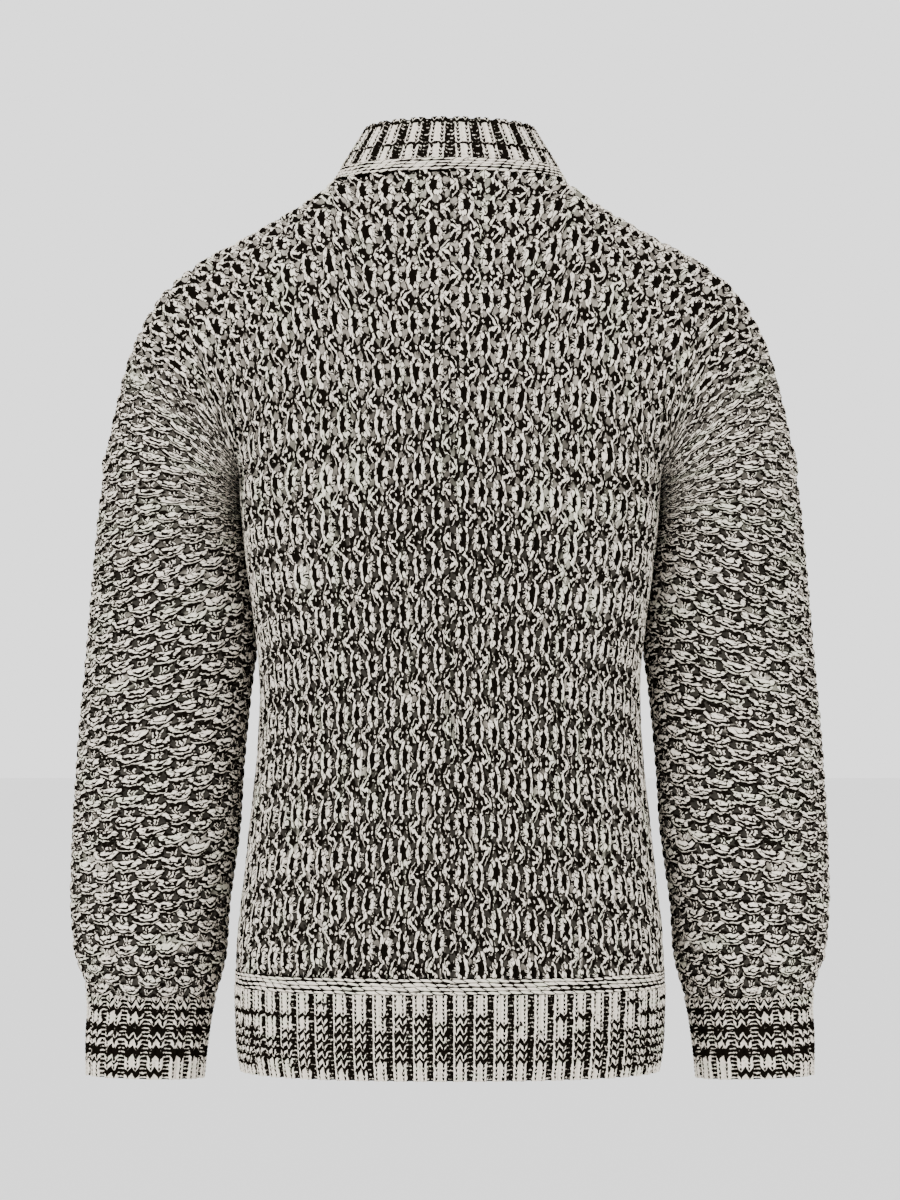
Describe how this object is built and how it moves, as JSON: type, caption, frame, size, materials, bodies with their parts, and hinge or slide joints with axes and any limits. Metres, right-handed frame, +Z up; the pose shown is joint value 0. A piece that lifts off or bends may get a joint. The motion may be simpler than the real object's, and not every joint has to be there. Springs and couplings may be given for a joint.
{
  "type": "marled stand-collar sweater",
  "caption": "Chunky marled tuck-stitch pullover with a ribbed stand collar, hem rib and cuffs, filled out as it is worn, hollow and open at neck, hem and cuffs.",
  "frame": {"origin": "centre of the neck, level with the points where the shoulders meet the collar, where the wearer's shoulders carry it", "axes": "+Z up, +Y towards the wearer's back, +X towards the wearer's left"},
  "size_m": [0.5692, 0.2366, 0.719],
  "materials": {
    "back_left": "cream and black marled chunky knit, matt and hairy",
    "back_right": "cream and black marled chunky knit, matt and hairy",
    "front_left": "cream and black marled chunky knit, matt and hairy",
    "front_right": "cream and black marled chunky knit, matt and hairy",
    "sleeve_back_left": "cream and black marled chunky knit, matt and hairy",
    "sleeve_back_right": "cream and black marled chunky knit, matt and hairy",
    "sleeve_front_left": "cream and black marled chunky knit, matt and hairy",
    "sleeve_front_right": "cream and black marled chunky knit, matt and hairy",
    "neck_chain": "cream and black marled chunky knit, matt and hairy",
    "collar": "cream and black marled ribbing, matt and hairy",
    "hem_chain": "cream and black marled chunky knit, matt and hairy",
    "hem_rib": "cream and black marled ribbing, matt and hairy",
    "cuff_left": "cream and black marled ribbing, matt and hairy",
    "cuff_right": "cream and black marled ribbing, matt and hairy"
  },
  "bodies": {
    "root": {"back_left": "back_left", "back_right": "back_right", "front_left": "front_left", "front_right": "front_right", "sleeve_back_left": "sleeve_back_left", "sleeve_back_right": "sleeve_back_right", "sleeve_front_left": "sleeve_front_left", "sleeve_front_right": "sleeve_front_right", "neck_chain": "neck_chain", "collar": "collar", "hem_chain": "hem_chain", "hem_rib": "hem_rib", "cuff_left": "cuff_left", "cuff_right": "cuff_right"}
  },
  "joints": []
}
